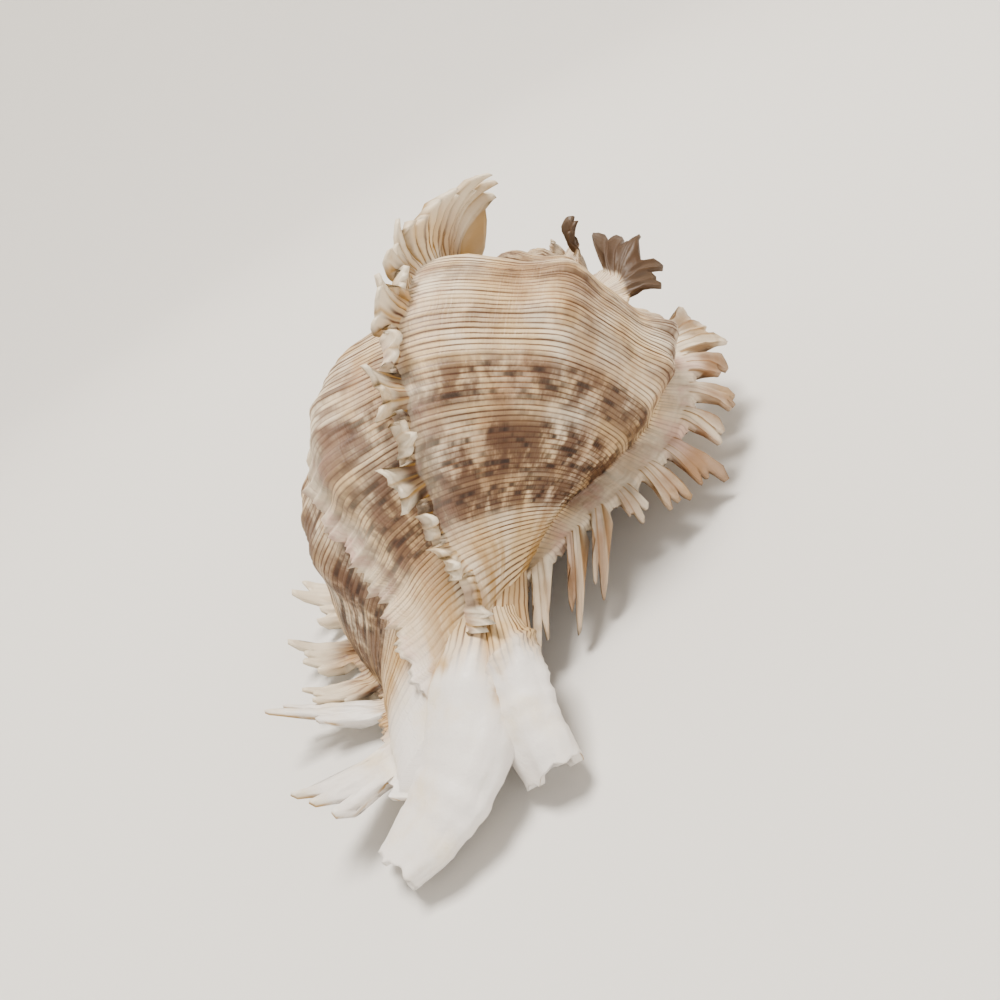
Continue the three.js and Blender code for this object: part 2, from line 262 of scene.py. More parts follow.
def frill(varix, share):
    """For each column of a crest: how far it grows out, and how it leans, tilts, curls and fans."""
    size = growth(crest_of(varix))
    steps = np.linalg.norm(np.diff(outline(share), axis=0), axis=1)
    arc = np.concatenate([[0], np.cumsum(steps)]) * size
    crinkle = 1 + 0.55 * wobble(arc * 1.9, varix) + 0.3 * wobble(arc * 4.3, varix + 4)
    collar = COLLARS[min(varix, 3)] * size * crinkle * smooth(share, 0.02, 0.1)
    grown = {name: 0 * arc for name in ("lean", "across", "width", "fan", "flute")}
    grown.update({"length": collar, "tilt": 0 * arc + COLLAR_TILT, "curl": 0 * arc + COLLAR_CURL,
                  "whole": collar + 0.01})
    for number, row in enumerate(FRONDS.get(varix, [])):
        place, length, width, lean, tilt, curl, fingers, slope, fan = row
        across = (arc - np.interp(place, share, arc)) / (ROOT * width)
        weight = 1 - smooth(np.abs(across), 0.47, 0.62)
        phase = np.clip(across + 0.5, 0, 0.999) * fingers
        finger = np.floor(phase)
        notch = np.abs(2 * (phase - finger) - 1) ** BLUNT
        depth = FINGER_DEPTH * min(1, 3.5 / fingers)
        reach = (1 - depth * notch) * (1 - slope * np.clip(across + 0.5, 0, 1))
        reach = reach * (1 + 0.14 * np.sin(finger * 2.6 + number * 1.9))
        values = {"length": length * reach, "lean": lean, "tilt": tilt, "curl": curl,
                  "across": np.clip(across, -0.6, 0.6), "width": width, "fan": fan,
                  "flute": 1 - 2 * notch, "whole": length}
        for name, value in values.items():
            grown[name] = grown[name] + weight * (value - grown[name])
    return grown


def crest_line(varix, share, part, front):
    """The crest's surface at a part of its growth outwards: its back, or its front."""
    crest = crest_of(varix)
    grown = frill(varix, share)
    normal = outwards(share)
    out = around(normal[:, 0], crest, normal[:, 1])
    down = around(-normal[:, 1], crest, normal[:, 0])
    backward = around(np.ones(len(share)), crest + 90, np.zeros(len(share)))
    travel = grown["length"] * part
    done = travel / np.maximum(grown["whole"], 0.5)
    bend = np.radians(grown["tilt"] * min(1, part * 4) + grown["curl"] * done * 0.5)
    gutter = grown["width"] * FOLD * (2 * grown["across"]) ** 2 * done
    flute = FLUTE_DEPTH * grown["width"] * grown["flute"] * smooth(done, 0.05, 0.4)
    sideways = travel * grown["lean"] + grown["width"] * grown["across"] * grown["fan"] * done
    crumple = CRUMPLE * wobble(share * 130 + travel * 0.5, varix) * smooth(travel, 0, 4)
    point = skin(crest, share, varix) + out * (travel * np.cos(bend))[:, None]
    point = point + backward * (travel * np.sin(bend) - gutter)[:, None] + down * sideways[:, None]
    face = backward * np.cos(bend)[:, None] - out * np.sin(bend)[:, None]
    root = ROOT_THICKNESS[min(varix, 3)] * growth(crest)
    thick = root + (TIP_THICKNESS - root) * smooth(done, 0, 0.8)
    shift = flute + crumple - (thick - 0.6 * flute if front else 0)
    groove = (1 - grown["flute"]) / 2 * smooth(grown["whole"], 3, 7)
    return point + face * np.reshape(shift, (-1, 1)), done * smooth(grown["whole"], 3, 7), groove


print("fronds:", sum(len(row) for row in FRONDS.values()))

# %% [markdown]
# ## Growing the ring
# A ring is the outer line plus a few points back up the central column, so every strip of the
# shell is closed. `create_circle` makes the first ring and `extrude_edge_only` makes each new
# one, which is then laid on its line. Points keep what the paint needs to know: how old they are,
# where they sit across the whorl, how far up a frond, in a flute of one or on a rib they are, and
# how pale or bare they are.

# %% The ring and its layers
COLUMN_POINTS = 14
LAYERS = ["behind", "share", "frond", "pale", "inside", "rib", "flute"]
APEX = Vector((11.874, 101.701, 52.654))
UP_SIDE = 120.4
SPIRE_RISE = 13.9
MILLIMETRE = 0.001
TO_REST = (Matrix.Scale(MILLIMETRE, 4) @ Matrix.Translation(APEX)
           @ Matrix.Rotation(math.radians(SPIRE_RISE - 90), 4, "X")
           @ Matrix.Rotation(math.radians(-UP_SIDE - 90), 4, "Z"))


def column_line(line):
    """Points from the neck end of a line back up the column to its suture end."""
    neck = line[-1]
    suture = line[0]
    foot = np.array([neck[0] * 0.4, neck[1] * 0.4, neck[2]])
    top = np.array([suture[0] * 0.08, suture[1] * 0.08, suture[2]])
    corners = np.array([neck, foot, top, suture])
    places = (np.arange(COLUMN_POINTS) + 1) / (COLUMN_POINTS + 1) * 3
    low = np.minimum(places.astype(int), 2)
    return corners[low] + (corners[low + 1] - corners[low]) * (places - low)[:, None]


class Growing:
    """A mesh that grows ring by ring."""

    def __init__(self, columns):
        self.mesh = bmesh.new()
        for name in LAYERS:
            self.mesh.verts.layers.float.new(name)
        self.layers = {name: self.mesh.verts.layers.float[name] for name in LAYERS}
        self.ring = bmesh.ops.create_circle(self.mesh, segments=columns, radius=1)["verts"]
        self.started = False
        self.rings = 0

    def grow(self, points, paint):
        if self.started:
            edges = [self.mesh.edges.get((self.ring[i - 1], self.ring[i])) for i in range(len(self.ring))]
            made = bmesh.ops.extrude_edge_only(self.mesh, edges=edges)
            fresh = {element for element in made["geom"] if isinstance(element, bmesh.types.BMVert)}
            self.ring = [next(edge.other_vert(vert) for edge in vert.link_edges
                              if edge.other_vert(vert) in fresh) for vert in self.ring]
        self.started = True
        self.rings += 1
        for number, vert in enumerate(self.ring):
            vert.co = points[number]
            for name, layer in self.layers.items():
                vert[layer] = float(paint[name][number]) if name in paint else 0.0

    def finish(self, name, materials):
        """Cap the ends, turn faces outwards and lay the mesh down, worn flat where it meets the floor."""
        ends = [edge for edge in self.mesh.edges if edge.is_boundary]
        bmesh.ops.holes_fill(self.mesh, edges=ends, sides=0)
        bmesh.ops.recalc_face_normals(self.mesh, faces=self.mesh.faces[:])
        bmesh.ops.transform(self.mesh, matrix=TO_REST, verts=self.mesh.verts[:])
        for vert in self.mesh.verts:
            vert.co.z = max(vert.co.z, 0)
        return mesh_object(name, self.mesh, materials)


def mesh_object(name, mesh, materials):
    for face in mesh.faces:
        face.smooth = True
    data = bpy.data.meshes.new(name)
    mesh.to_mesh(data)
    mesh.free()
    piece = bpy.data.objects.new(name, data)
    bpy.context.collection.objects.link(piece)
    for material in materials:
        data.materials.append(material)
    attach(piece, "root")
    print(name, "has", sum(len(face.vertices) - 2 for face in data.polygons), "triangles")
    return piece


print("layers on the points:", ", ".join(LAYERS))

# %% [markdown]
# ## From crest to crest
# One stretch of growth starts in the hollow below the last crest, swells over its two ribs and
# flares into the next crest. There the ring goes out and back along the fronds and down the
# steep pale front, and the next stretch begins. The same function grows the old spire and the
# last whorl, with more rings where the strips are larger.

# %% Stretches and crests
LEDGE_TURN = 6
LEDGE_RINGS = 4
LEDGE_FADE = 0.4
SWELL_PALE = 0.45
FRONT_PALE = 0.75
FRONT_FADE = 0.45
# How far the rib marks are moved to the older side of each rib, where they are painted shade.
RIB_SHADE_SHIFT = 0.05


def ring_paint(share, behind, frond=0, pale=0, inside=0, rib=0, flute=0):
    ones = np.ones(len(share))
    column = np.ones(COLUMN_POINTS)
    rows = {"behind": behind * ones, "share": share, "frond": frond * ones, "pale": pale * ones,
            "inside": inside * ones, "rib": rib * ones, "flute": flute * ones}
    ends = {"behind": behind, "share": share[-1]}
    return {name: np.concatenate([row, column * ends.get(name, 0)]) for name, row in rows.items()}


def close(line):
    return np.concatenate([line, column_line(line)])


def grow_stretch(growing, varix, share, rings):
    first = crest_of(varix + 1) - LEDGE_TURN
    for behind in np.linspace(first, crest_of(varix), rings):
        swell = smooth((first - behind) / VARIX_STEP, 0.82, 0.98) * SWELL_PALE
        pale = scar(behind, share) ** 0.6 if varix == 0 else swell
        grown = (crest_of(varix + 1) - behind) / (crest_of(varix + 1) - crest_of(varix))
        # The rib layer is taken a little to the older side, so its brown is partly painted shade.
        paint = ring_paint(share, behind, 0, pale, 0, ribs(grown + RIB_SHADE_SHIFT, share, varix))
        growing.grow(close(skin(behind, share, varix)), paint)


def grow_crest(growing, varix, share, rings):
    crest = crest_of(varix)
    for part in np.linspace(0, 1, rings + 1)[1:]:
        line, frond, flute = crest_line(varix, share, part, False)
        growing.grow(close(line), ring_paint(share, crest, frond, 0, 0, 0, flute))
    for part in np.linspace(1, 0, rings - 2):
        line, frond, flute = crest_line(varix, share, part, True)
        pale = FRONT_PALE - FRONT_FADE * frond
        growing.grow(close(line), ring_paint(share, crest, frond, pale, 0, 0, flute))


def grow_ledge(growing, varix, share):
    top = crest_line(varix, share, 0, True)[0]
    foot = skin(crest_of(varix) - LEDGE_TURN, share, varix - 1)
    for step in (np.arange(LEDGE_RINGS) + 1) / (LEDGE_RINGS + 1):
        line = top + (foot - top) * step
        behind = crest_of(varix) - LEDGE_TURN * step
        growing.grow(close(line), ring_paint(share, behind, 0, 1 - LEDGE_FADE * step))


print("degrees between crests:", VARIX_STEP)

# %% [markdown]
# ## The paint
# The shell is ivory with a thin brown line in every groove between cords, broad brown bands that
# break up into dashes, dark marks on the ribs and ochre stains low down. The rib marks are partly
# the shell's own colour and partly painted shade, laid a little to the older side of each rib.
# Fronds fade to white and the oldest ones are dark with age. A picture would fix all this to one
# view, so the colours are worked out from the layers that the growing ring left behind.

# %% Node helpers
INK = {"ivory": (0.66, 0.48, 0.27, 1), "white": (0.76, 0.67, 0.53, 1), "brown": (0.10, 0.042, 0.02, 1),
       "dark": (0.025, 0.011, 0.007, 1), "tan": (0.27, 0.14, 0.07, 1), "ochre": (0.42, 0.23, 0.045, 1),
       "pink": (0.62, 0.42, 0.36, 1), "chalk": (0.78, 0.74, 0.70, 1), "umber": (0.075, 0.04, 0.02, 1)}


class Nodes:
    """Short names for adding nodes to a material or a group."""

    def __init__(self, tree):
        self.tree = tree

    def add(self, kind, values=None, **settings):
        node = self.tree.nodes.new(kind)
        for name, value in settings.items():
            setattr(node, name, value)
        for name, value in (values or {}).items():
            self.put(node.inputs[name], value)
        return node

    def put(self, socket, value):
        if isinstance(value, bpy.types.NodeSocket):
            self.tree.links.new(value, socket)
        else:
            socket.default_value = value

    def math(self, kind, first, second=0.0):
        node = self.add("ShaderNodeMath", operation=kind)
        self.put(node.inputs[0], first)
        self.put(node.inputs[1], second)
        return node.outputs[0]

    def times(self, first, second):
        return self.math("MULTIPLY", first, second)

    def ramp(self, value, low, high, start=0.0, end=1.0):
        node = self.add("ShaderNodeMapRange", {"Value": value, "From Min": low, "From Max": high,
                                               "To Min": start, "To Max": end},
                        interpolation_type="SMOOTHSTEP")
        return node.outputs["Result"]

    def near(self, value, centre, width):
        """1 at the centre, falling to 0 a width away."""
        gap = self.math("ABSOLUTE", self.math("SUBTRACT", value, centre))
        return self.ramp(gap, 0.35 * width, width, 1.0, 0.0)

    def mix(self, share, first, second):
        node = self.add("ShaderNodeMix", data_type="RGBA")
        self.put(node.inputs["Factor"], share)
        self.put(node.inputs[6], first)
        self.put(node.inputs[7], second)
        return node.outputs[2]

    def layer(self, name):
        return self.add("ShaderNodeAttribute", attribute_name=name).outputs["Fac"]

    def noise(self, place, scale, detail=4.0, rough=0.55):
        return self.add("ShaderNodeTexNoise", {"Vector": place, "Scale": scale, "Detail": detail,
                                               "Roughness": rough}).outputs["Fac"]

    def point(self, x, y, z=0.0):
        return self.add("ShaderNodeCombineXYZ", {"X": x, "Y": y, "Z": z}).outputs[0]


def new_group(name, inputs, outputs):
    group = bpy.data.node_groups.new(name, "ShaderNodeTree")
    for label, kind in inputs:
        group.interface.new_socket(label, in_out="INPUT", socket_type=kind)
    for label, kind in outputs:
        group.interface.new_socket(label, in_out="OUTPUT", socket_type=kind)
    nodes = Nodes(group)
    return group, nodes, nodes.add("NodeGroupInput").outputs, nodes.add("NodeGroupOutput").inputs


print("inks:", ", ".join(INK))

# %% [markdown]
# ### Weathered lime
# All of the shell is the same lime: slightly mottled, with pin pricks and fine grain. The painted
# skin and the glazed mouth both use this effect, so it is a group with a mottle to tint colour with
# and a height to roughen the surface with.

# %% Group for the lime
FLOAT = "NodeSocketFloat"


def lime_group():
    group, nodes, given, result = new_group(
        "weathered lime", [("Scale", FLOAT)], [("Mottle", FLOAT), ("Height", FLOAT)])
    place = nodes.add("ShaderNodeTexCoord").outputs["Object"]
    mottle = nodes.noise(place, given["Scale"], 5.0, 0.6)
    fine = nodes.noise(place, nodes.times(given["Scale"], 9.0), 4.0, 0.7)
    dense = nodes.times(given["Scale"], 4.0)
    prick = nodes.add("ShaderNodeTexVoronoi", {"Vector": place, "Scale": dense})
    hole = nodes.ramp(prick.outputs["Distance"], 0.05, 0.2, 1.0, 0.0)
    pits = nodes.times(hole, nodes.ramp(mottle, 0.55, 0.7))
    height = nodes.math("SUBTRACT", nodes.times(fine, 0.6), nodes.times(pits, 0.7))
    nodes.put(result["Mottle"], mottle)
    nodes.put(result["Height"], height)
    return group


LIME = lime_group()
print("group:", LIME.name)

# %% [markdown]
# ### The painted skin
# The lines and bands follow the cords, so they are drawn from `share`, the place across the
# whorl, and they are broken up by noise stretched along the growth. The dark lines sit in the
# grooves, where the colour lay down thickest. The canals take the same paint, because they start
# corded like the neck, and the `inside` layer fades it to bare chalk with a few ochre stains.

# %% Material for the skin
# Each band is its share, its half width and how strong it is.
BANDS = [(0.545, 0.04, 0.9), (0.675, 0.06, 1.0), (0.765, 0.035, 0.95), (0.30, 0.03, 0.4),
         (0.42, 0.02, 0.3)]
BAND_BLUR = 1.6
SKIN_GRAIN = 60.0
BUMP_STRENGTH = 0.5
BUMP_DISTANCE = 0.0006


def skin_paint():
    material = bpy.data.materials.new("painted skin")
    material.use_nodes = True
    nodes = Nodes(material.node_tree)
    shader = material.node_tree.nodes["Principled BSDF"]
    behind = nodes.layer("behind")
    share = nodes.layer("share")
    frond = nodes.layer("frond")
    pale = nodes.times(nodes.layer("pale"), nodes.ramp(behind, 260.0, 340.0, 1.0, 0.45))
    lime = nodes.add("ShaderNodeGroup", {"Scale": SKIN_GRAIN}, node_tree=LIME)
    mottle = lime.outputs["Mottle"]

    along = nodes.times(behind, 0.1)
    cord = nodes.times(share, float(CORDS))
    row = nodes.times(nodes.math("FLOOR", cord), 0.37)
    flow = nodes.point(along, nodes.times(share, 9.0))
    blotch = nodes.noise(flow, 1.1, 4.0, 0.6)
    dashes = nodes.noise(nodes.point(nodes.times(along, 0.7), row), 1.6, 3.0, 0.5)
    broad = nodes.point(nodes.times(along, 0.5), nodes.times(share, 5.0), 7.0)
    shade = nodes.noise(broad, 1.0)

    centre = nodes.math("ABSOLUTE", nodes.math("SUBTRACT", nodes.math("FRACT", cord), 0.5))
    groove = nodes.ramp(centre, 0.24, 0.46)
    band = 0.0
    for place, width, weight in BANDS:
        stripe = nodes.near(share, place, width * BAND_BLUR)
        band = nodes.math("MAXIMUM", band, nodes.times(stripe, weight))

    base = nodes.mix(nodes.ramp(mottle, 0.35, 0.7), INK["ivory"], INK["white"])
    wash = nodes.times(nodes.ramp(shade, 0.42, 0.66), 0.55)
    base = nodes.mix(wash, base, INK["tan"])
    streak = nodes.times(band, nodes.ramp(blotch, 0.34, 0.56))
    base = nodes.mix(nodes.times(streak, 0.88), base, INK["brown"])
    marks = nodes.times(nodes.times(band, nodes.ramp(dashes, 0.48, 0.66)), 0.9)
    base = nodes.mix(marks, base, INK["dark"])
    each_row = nodes.point(nodes.times(along, 0.15), nodes.times(row, 3.1), 4.0)
    strength = nodes.noise(each_row, 1.3)
    lines = nodes.times(groove, nodes.ramp(dashes, 0.3, 0.5, 0.6, 1.0))
    lines = nodes.times(lines, nodes.ramp(strength, 0.3, 0.6, 0.35, 1.0))
    base = nodes.mix(lines, base, nodes.mix(nodes.ramp(blotch, 0.3, 0.5), INK["tan"], INK["brown"]))

    # Brown on the ribs: partly the shell's own marks, partly painted shade on their older side.
    rib = nodes.ramp(nodes.layer("rib"), 0.35, 1.0)
    rib_mark_and_shade = nodes.times(rib, nodes.ramp(dashes, 0.4, 0.62))
    base = nodes.mix(nodes.times(rib_mark_and_shade, 0.75), base, INK["brown"])

    stain = nodes.times(nodes.ramp(share, 0.78, 0.92), nodes.ramp(shade, 0.4, 0.6))
    base = nodes.mix(nodes.times(stain, 0.5), base, INK["ochre"])
    front = nodes.times(pale, nodes.ramp(mottle, 0.35, 0.6, 0.6, 1.0))
    base = nodes.mix(front, base, nodes.mix(nodes.ramp(blotch, 0.45, 0.7), INK["white"], INK["pink"]))
    tips = nodes.ramp(frond, 0.15, 0.6)
    base = nodes.mix(nodes.times(tips, 0.9), base, INK["white"])
    yellow = nodes.times(nodes.times(tips, nodes.ramp(mottle, 0.5, 0.65)), 0.5)
    yellow = nodes.times(yellow, nodes.ramp(behind, 60.0, 120.0))
    base = nodes.mix(yellow, base, INK["ochre"])
    flute = nodes.ramp(nodes.layer("flute"), 0.35, 0.95)
    seam = nodes.times(flute, nodes.ramp(behind, 60.0, 118.0))
    base = nodes.mix(nodes.times(seam, 0.7), base, INK["ochre"])
    seam_dark = nodes.times(seam, nodes.ramp(behind, 130.0, 225.0))
    base = nodes.mix(nodes.times(seam_dark, 0.6), base, INK["brown"])
    aged = nodes.times(nodes.ramp(behind, 180.0, 225.0), nodes.ramp(frond, 0.1, 0.4))
    aged = nodes.times(aged, nodes.ramp(blotch, 0.38, 0.58))
    base = nodes.mix(nodes.times(aged, 0.75), base, INK["tan"])
    old = nodes.times(nodes.ramp(behind, 300.0, 340.0), nodes.ramp(frond, 0.0, 0.12))
    base = nodes.mix(nodes.times(old, 0.93), base, INK["umber"])
    low_fronds = nodes.times(nodes.ramp(share, 0.72, 0.77), nodes.ramp(frond, 0.02, 0.2))
    low = nodes.math("MAXIMUM", nodes.ramp(share, 0.88, 0.96), low_fronds)
    white_neck = nodes.times(low, nodes.ramp(behind, 40.0, 90.0, 1.0, 0.0))
    bare = nodes.math("MAXIMUM", white_neck, nodes.layer("inside"))
    chalky = nodes.mix(nodes.ramp(mottle, 0.45, 0.75), INK["chalk"], INK["white"])
    drip = nodes.times(nodes.ramp(pale, 0.05, 0.35), nodes.ramp(pale, 0.35, 0.5, 1.0, 0.0))
    drip = nodes.times(drip, nodes.ramp(mottle, 0.42, 0.58))
    base = nodes.mix(bare, base, nodes.mix(nodes.times(drip, 0.9), chalky, INK["ochre"]))

    nodes.put(shader.inputs["Base Color"], base)
    nodes.put(shader.inputs["Roughness"], nodes.ramp(mottle, 0.3, 0.7, 0.42, 0.6))
    shader.inputs["Specular IOR Level"].default_value = 0.4
    layered = nodes.point(nodes.times(behind, 1.3), nodes.times(share, 4.0))
    lamella = nodes.noise(layered, 1.0, 3.0)
    height = nodes.math("ADD", lime.outputs["Height"], nodes.times(lamella, 0.8))
    bump = nodes.add("ShaderNodeBump", {"Strength": BUMP_STRENGTH, "Distance": BUMP_DISTANCE,
                                        "Height": height})
    nodes.put(shader.inputs["Normal"], bump.outputs["Normal"])
    return material


SKIN = skin_paint()
print("material:", SKIN.name)

# %% [markdown]
# ### The glazed mouth
# Inside the mouth the snail kept polishing, and the lime there is smooth as china and flushed with
# pink. It could be one more mask in the skin's paint, but its gloss is easier to judge in a
# material of its own, which the whorl puts on the faces inside its lip.

# %% Material for the mouth
GLAZE_GRAIN = 25.0


def mouth_glaze():
    material = bpy.data.materials.new("glazed mouth")
    material.use_nodes = True
    nodes = Nodes(material.node_tree)
    shader = material.node_tree.nodes["Principled BSDF"]
    lime = nodes.add("ShaderNodeGroup", {"Scale": GLAZE_GRAIN}, node_tree=LIME)
    base = nodes.mix(nodes.ramp(lime.outputs["Mottle"], 0.4, 0.7), INK["chalk"], INK["pink"])
    nodes.put(shader.inputs["Base Color"], base)
    nodes.put(shader.inputs["Roughness"], nodes.ramp(lime.outputs["Mottle"], 0.3, 0.7, 0.16, 0.26))
    return material


GLAZE = mouth_glaze()
print("material:", GLAZE.name)

# %% [markdown]
# ## The spire
# The old whorls stand above the last one, and most of each is hidden inside the next. So the
# spire grows only the upper part of its line, with few rings near the tip.

# %% Grow the spire
SPIRE_SHARE = 0.6
OLDEST_VARIX = 12
OLD_VARIX = 6
SPIRE_END = 4
OLD_RINGS = 16
YOUNG_RINGS = 28
SPIRE_CREST_RINGS = 9


def grow_spire():
    columns = int(CORDS * COLUMNS_PER_CORD * SPIRE_SHARE)
    share = np.linspace(0, SPIRE_SHARE, columns)
    growing = Growing(columns + COLUMN_POINTS)
    for varix in range(OLDEST_VARIX, SPIRE_END - 1, -1):
        grow_stretch(growing, varix, share, YOUNG_RINGS if varix < OLD_VARIX else OLD_RINGS)
        grow_crest(growing, varix, share, SPIRE_CREST_RINGS)
        grow_ledge(growing, varix, share)
    print("spire rings:", growing.rings)
    return growing.finish("spire", [SKIN])


grow_spire()

# %% [markdown]
# ## The last whorl and its mouth
# The last four stretches make the big whorl with its great crests. At the lip the ring turns in
# and is drawn back inside the shell to make the mouth, narrowing as it winds away. A mouth cut out
# of a solid whorl would leave a hard edge, and this way the lip is one fold of the same surface.

# %% Grow the last whorl
# Both rows are radius and depth: down the outer wall, then up the pillar.
MOUTH_WALL = np.array([[35, 77], [44, 76], [49, 82], [52, 91], [53, 103], [51, 116], [44, 129],
                       [34, 139], [23, 147], [12, 152]], float)
MOUTH_PILLAR = np.array([[12, 152], [8, 147], [8, 131], [9.5, 118], [12, 110], [16.5, 103], [22, 97],
                         [28, 89], [33, 81], [35, 77]], float)
MOUTH_CENTRE = np.array([32, 111])
MOUTH_TURN = 105
MOUTH_RINGS = 14
MOUTH_END = 0.3
MOUTH_STRAIGHT = 8
EDGE_AHEAD = 1.5
BRIM_STEPS = (0.35, 0.7, 0.92)
GLAZE_START = 0.3
STRETCH_RINGS = {3: 26, 2: 42, 1: 50, 0: 56}
CREST_RINGS = {3: 8, 2: 11, 1: 12, 0: 13}


def mouth_line(inside, count):
    """The mouth's outline a number of degrees inside the lip."""
    wall = spline(MOUTH_WALL, np.linspace(0, 1, count))
    pillar = spline(MOUTH_PILLAR, (np.arange(COLUMN_POINTS) + 1) / (COLUMN_POINTS + 1))
    line = np.concatenate([wall, pillar])
    narrow = 1 - (1 - MOUTH_END) * smooth(inside, MOUTH_STRAIGHT, MOUTH_TURN)
    line = MOUTH_CENTRE + (line - MOUTH_CENTRE) * narrow
    behind = LIP + inside
    return around(line[:, 0], behind, line[:, 1]) * growth(behind)


def grow_mouth(growing, share):
    brim = close(crest_line(0, share, 0, True)[0])
    edge = mouth_line(-EDGE_AHEAD, len(share))
    for step in BRIM_STEPS:
        growing.grow(brim + (edge - brim) * step, ring_paint(share, LIP, 0, 1, step))
    for inside in np.linspace(0, MOUTH_TURN, MOUTH_RINGS):
        growing.grow(mouth_line(inside, len(share)), ring_paint(share, LIP, 0, 1, 1))


def grow_whorl():
    columns = CORDS * COLUMNS_PER_CORD
    share = np.linspace(0, 1, columns)
    growing = Growing(columns + COLUMN_POINTS)
    for varix in (3, 2, 1, 0):
        grow_stretch(growing, varix, share, STRETCH_RINGS[varix])
        grow_crest(growing, varix, share, CREST_RINGS[varix])
        if varix > 0:
            grow_ledge(growing, varix, share)
    grow_mouth(growing, share)
    print("whorl rings:", growing.rings)
    inside = growing.layers["inside"]
    for face in growing.mesh.faces:
        if min(vert[inside] for vert in face.verts) > GLAZE_START:
            face.material_index = 1
    return growing.finish("whorl", [SKIN, GLAZE])


whorl = grow_whorl()
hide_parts("shell")

# %% [markdown]
# ## The canals
# The snail breathed through a long half-closed tube. The last one is broad, white and open along
# a slit on the mouth's side; the one before was left behind, bent aside, with a hollow end. Both
# are rings extruded along a bent centre line, then turned in at the end for the bore.

# %% Grow the canals
# Each row is the centre's x, y and depth, then half the width and half the thickness.
CANAL = np.array([[0, 0, 112, 4, 4], [0, 0, 142, 9.5, 8.5], [0, 0, 160, 13.5, 10.5],
                  [2, 0, 176, 13, 8], [6, 2, 188, 11, 6], [11, 6, 198, 7.5, 4]], float)
OLD_CANAL = np.array([[-2, 1, 122, 3, 3], [-5, 1, 142, 4, 4], [-9.5, -1, 155, 6.8, 6.3],
                      [-12, -7, 168, 6.8, 6], [-13, -14, 177, 7, 5.5]], float)
CANAL_SIDES = 56
CANAL_STEPS = 60
BOXY = 2.7
BORE = 0.62
BORE_DEPTH = 0.16
BORE_RINGS = 8
END_RIM = 0.93
NEXT = 0.01
BARE_FADE = 0.16
SLIT = {"turn": 0.5, "half_width": 0.07, "depth": 0.55}


def canal_line(stations, place, scale, slit, rough):
    """One ring of a canal: an ellipse across its centre line, pulled in along the slit."""
    centre = spline(stations, np.array([place]))[0]
    after = spline(stations, np.array([min(place + NEXT, 1)]))[0]
    ahead = after - spline(stations, np.array([place - NEXT]))[0]
    along = np.array([ahead[0], ahead[1], -ahead[2]]) / np.linalg.norm(ahead[:3])
    wide = np.cross([0, 1, 0], along)
    wide /= np.linalg.norm(wide)
    thick = np.cross(wide, along)
    turn = np.arange(CANAL_SIDES) / CANAL_SIDES
    angle = turn * 2 * np.pi
    lumps = 1 + 0.05 * wobble(angle * 3 + place * 7, 2) + 0.03 * wobble(place * 40, 6)
    lumps = lumps + 0.025 * wobble(angle * 9 + place * 3, 4)
    pull = bell(turn - SLIT["turn"], SLIT["half_width"]) * SLIT["depth"] * slit
    pull = pull * smooth(place, 0.2, 0.45)
    square = (np.abs(np.sin(angle)) ** BOXY + np.abs(np.cos(angle)) ** BOXY) ** (-1 / BOXY)
    brim = 1 + 0.1 * bell(turn - 0.27, 0.06) * smooth(place, 0.45, 0.6)
    knobs = 0.28 * rough * np.maximum(0, wobble(angle * 2 + place * 31, 1))
    knobs = knobs * bell(place - 0.52, 0.14)
    radius = scale * (lumps + knobs) * square * brim * (1 - pull)
    steps = 1 + 0.025 * np.abs(np.sin(place * 38)) * smooth(place, 0.3, 0.5)
    radius = radius * steps
    ragged = 1.6 * wobble(angle * 2, 5) * smooth(place, 0.8, 1)
    middle = np.array([centre[0], centre[1], -centre[2]]) + along * ragged[:, None]
    sideways = np.sin(angle) * centre[3] * radius
    through = -np.cos(angle) * centre[4] * radius
    return middle + wide * sideways[:, None] + thick * through[:, None]


def canal_paint(place, age, bare):
    """A canal starts corded, like the neck it leaves, and fades to bare white."""
    turn = np.arange(CANAL_SIDES) / CANAL_SIDES
    fade = smooth(place + 0.05 * wobble(turn * 2 * np.pi * 3, age), bare, bare + BARE_FADE)
    share = NECK_SHARE + 0.34 * np.abs(turn - 0.5)
    return {"pale": 0.5 * fade, "inside": fade, "share": share, "behind": age + 0 * turn}


def grow_canal(name, stations, slit, age, bare, rough):
    growing = Growing(CANAL_SIDES)
    bare_paint = {"share": np.ones(CANAL_SIDES), "inside": np.ones(CANAL_SIDES)}
    for place in np.linspace(0, 1, CANAL_STEPS):
        growing.grow(canal_line(stations, place, 1, slit, rough), canal_paint(place, age, bare))
    for scale in (END_RIM, BORE + 0.05):
        growing.grow(canal_line(stations, 1, scale, slit, 0), bare_paint)
    for place in np.linspace(1 - 0.02, 1 - BORE_DEPTH, BORE_RINGS):
        growing.grow(canal_line(stations, place, BORE, slit, 0), bare_paint)
    return growing.finish(name, [SKIN])


grow_canal("canal", CANAL, slit=1, age=100, bare=0.3, rough=0)
grow_canal("old_canal", OLD_CANAL, slit=0, age=150, bare=0.46, rough=1)

# %% [markdown]
# ## The floor
# The shell rests on plain pale paper whose edge sweeps up, so no horizon shows although the camera
# is rolled. A flat plane would end in view, so the rim of a disc is extruded along a quarter turn
# and then straight up as a wall.

# %% Floor
FLOOR_COLOUR = (0.72, 0.70, 0.67, 1)
FLOOR_RADIUS = 0.9
SWEEP_RADIUS = 0.7
SWEEP_STEPS = 12
WALL_HEIGHT = 2


